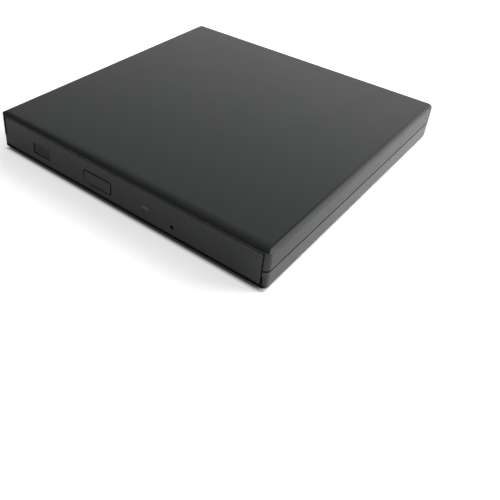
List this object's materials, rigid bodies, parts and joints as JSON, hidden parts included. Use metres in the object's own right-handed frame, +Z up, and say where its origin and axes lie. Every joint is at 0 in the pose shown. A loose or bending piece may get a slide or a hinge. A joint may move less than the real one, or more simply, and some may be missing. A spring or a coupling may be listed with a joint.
{
  "type": "external optical disc drive",
  "caption": "Slim flat box with a sliding disc tray behind a plain front panel, and two sockets in its rear wall.",
  "frame": {"origin": "centre of the box around the closed drive, on the plane under its four feet", "axes": "+Z up, -Y out of the tray's front panel, +Y out of the rear wall with the sockets, +X to the right seen from the front"},
  "size_m": [0.132, 0.135, 0.0181],
  "materials": {
    "casing": "fine satin grain",
    "bezel": "satin",
    "tray_plastic": "matt",
    "rubber": "matt",
    "sheet_steel": "plain",
    "dark_steel": "dark",
    "paper": "plain",
    "circuit_board": "satin",
    "black_resin": "satin",
    "white_resin": "satin",
    "clear_plastic": "clear",
    "copper": "enamelled",
    "cable_film": "satin"
  },
  "bodies": {
    "case": {"top_cover": "casing", "bottom_cover": "casing", "foot_front_left": "rubber", "foot_front_right": "rubber", "foot_rear_left": "rubber", "foot_rear_right": "rubber", "case_screw_front_left": "dark_steel", "case_screw_front_right": "dark_steel", "case_screw_rear_left": "dark_steel", "board_screw": "dark_steel", "rear_label": "paper", "chassis_pan": "sheet_steel", "chassis_lid": "sheet_steel", "rail_guide_left": "black_resin", "rail_guide_right": "black_resin", "bridge_board": "circuit_board", "usb_shell": "sheet_steel", "usb_insulator": "white_resin", "dc_jack": "black_resin", "dc_jack_pin": "sheet_steel", "drive_board": "circuit_board", "bridge_chip": "black_resin", "crystal": "sheet_steel", "capacitor": "dark_steel", "drive_connector": "black_resin", "ribbon_cable": "cable_film", "latch_pin": "sheet_steel", "pusher_tube": "black_resin", "eject_spring": "sheet_steel"},
    "rail_left": {"rail_left": "sheet_steel"},
    "rail_right": {"rail_right": "sheet_steel"},
    "tray": {"tray_frame": "tray_plastic", "tray_bezel": "bezel", "light_pipe": "clear_plastic", "eject_switch": "black_resin", "tray_base_plate": "sheet_steel", "tray_board": "circuit_board", "solenoid_coil": "copper", "traverse_base": "black_resin", "traverse_cover": "sheet_steel", "damper_1": "rubber", "damper_2": "rubber", "damper_3": "rubber", "main_guide_rod": "sheet_steel", "sub_guide_rod": "sheet_steel", "sled_motor": "sheet_steel", "motor_base": "sheet_steel"},
    "button": {"eject_button": "bezel"},
    "spindle": {"turntable": "dark_steel", "turntable_ring": "rubber"},
    "claw_1": {"disc_claw_1": "white_resin"},
    "claw_2": {"disc_claw_2": "white_resin"},
    "claw_3": {"disc_claw_3": "white_resin"},
    "sled": {"pickup_sled": "dark_steel"},
    "lens": {"lens_holder": "black_resin", "lens": "clear_plastic"},
    "screw": {"lead_screw": "sheet_steel"},
    "latch": {"latch_lever": "white_resin"},
    "plunger": {"solenoid_plunger": "sheet_steel"},
    "pusher": {"eject_pusher": "white_resin"}
  },
  "joints": [
    {"name": "tray_slide", "type": "slide", "parent": "case", "child": "tray", "axis": [0, -1, 0], "range_m": [0, 0.122], "deforming": ["ribbon_cable"]},
    {"name": "rail_left_slide", "type": "slide", "parent": "case", "child": "rail_left", "axis": [0, -1, 0], "range_m": [0, 0.061]},
    {"name": "rail_right_slide", "type": "slide", "parent": "case", "child": "rail_right", "axis": [0, -1, 0], "range_m": [0, 0.061]},
    {"name": "eject_button_press", "type": "slide", "parent": "tray", "child": "button", "axis": [0, 1, 0], "range_m": [0, 0.0008], "stiffness_N_per_m": 1000},
    {"name": "spindle_spin", "type": "hinge", "parent": "tray", "child": "spindle", "pos_m": [0, -0.0018, 0.0126], "axis": [0, 0, 1], "continuous": true},
    {"name": "sled_slide", "type": "slide", "parent": "tray", "child": "sled", "axis": [-0.7071, -0.7071, 0], "range_m": [0, 0.0335]},
    {"name": "lead_screw_spin", "type": "hinge", "parent": "tray", "child": "screw", "pos_m": [-0.03748, -0.01212, 0.00835], "axis": [-0.7071, -0.7071, 0], "range_deg": [0, 4030]},
    {"name": "lens_focus", "type": "slide", "parent": "sled", "child": "lens", "axis": [0, 0, 1], "range_m": [-0.0006, 0.0006], "stiffness_N_per_m": 50},
    {"name": "solenoid_plunger_slide", "type": "slide", "parent": "tray", "child": "plunger", "axis": [1, 0, 0], "range_m": [0, 0.00125], "stiffness_N_per_m": 30},
    {"name": "latch_lever_turn", "type": "hinge", "parent": "tray", "child": "latch", "pos_m": [0.03348, -0.055, 0.0063], "axis": [0, 0, -1], "range_deg": [0, 12]},
    {"name": "eject_pusher_slide", "type": "slide", "parent": "case", "child": "pusher", "axis": [0, -1, 0], "range_m": [0, 0.012], "deforming": ["eject_spring"]},
    {"name": "disc_claw_1_press", "type": "slide", "parent": "spindle", "child": "claw_1", "axis": [0, -1, 0], "range_m": [0, 0.0005], "stiffness_N_per_m": 500},
    {"name": "disc_claw_2_press", "type": "slide", "parent": "spindle", "child": "claw_2", "axis": [0.866, 0.5, 0], "range_m": [0, 0.0005], "stiffness_N_per_m": 500},
    {"name": "disc_claw_3_press", "type": "slide", "parent": "spindle", "child": "claw_3", "axis": [-0.866, 0.5, 0], "range_m": [0, 0.0005], "stiffness_N_per_m": 500}
  ],
  "couplings": [
    {"joint": "rail_left_slide", "follows": "tray_slide", "ratio": 0.5},
    {"joint": "rail_right_slide", "follows": "tray_slide", "ratio": 0.5},
    {"joint": "eject_pusher_slide", "follows": "tray_slide", "ratio": 0.098},
    {"joint": "lead_screw_spin", "follows": "sled_slide", "rad_per_m": 2094.4},
    {"joint": "latch_lever_turn", "follows": "solenoid_plunger_slide", "rad_per_m": 166.67}
  ]
}
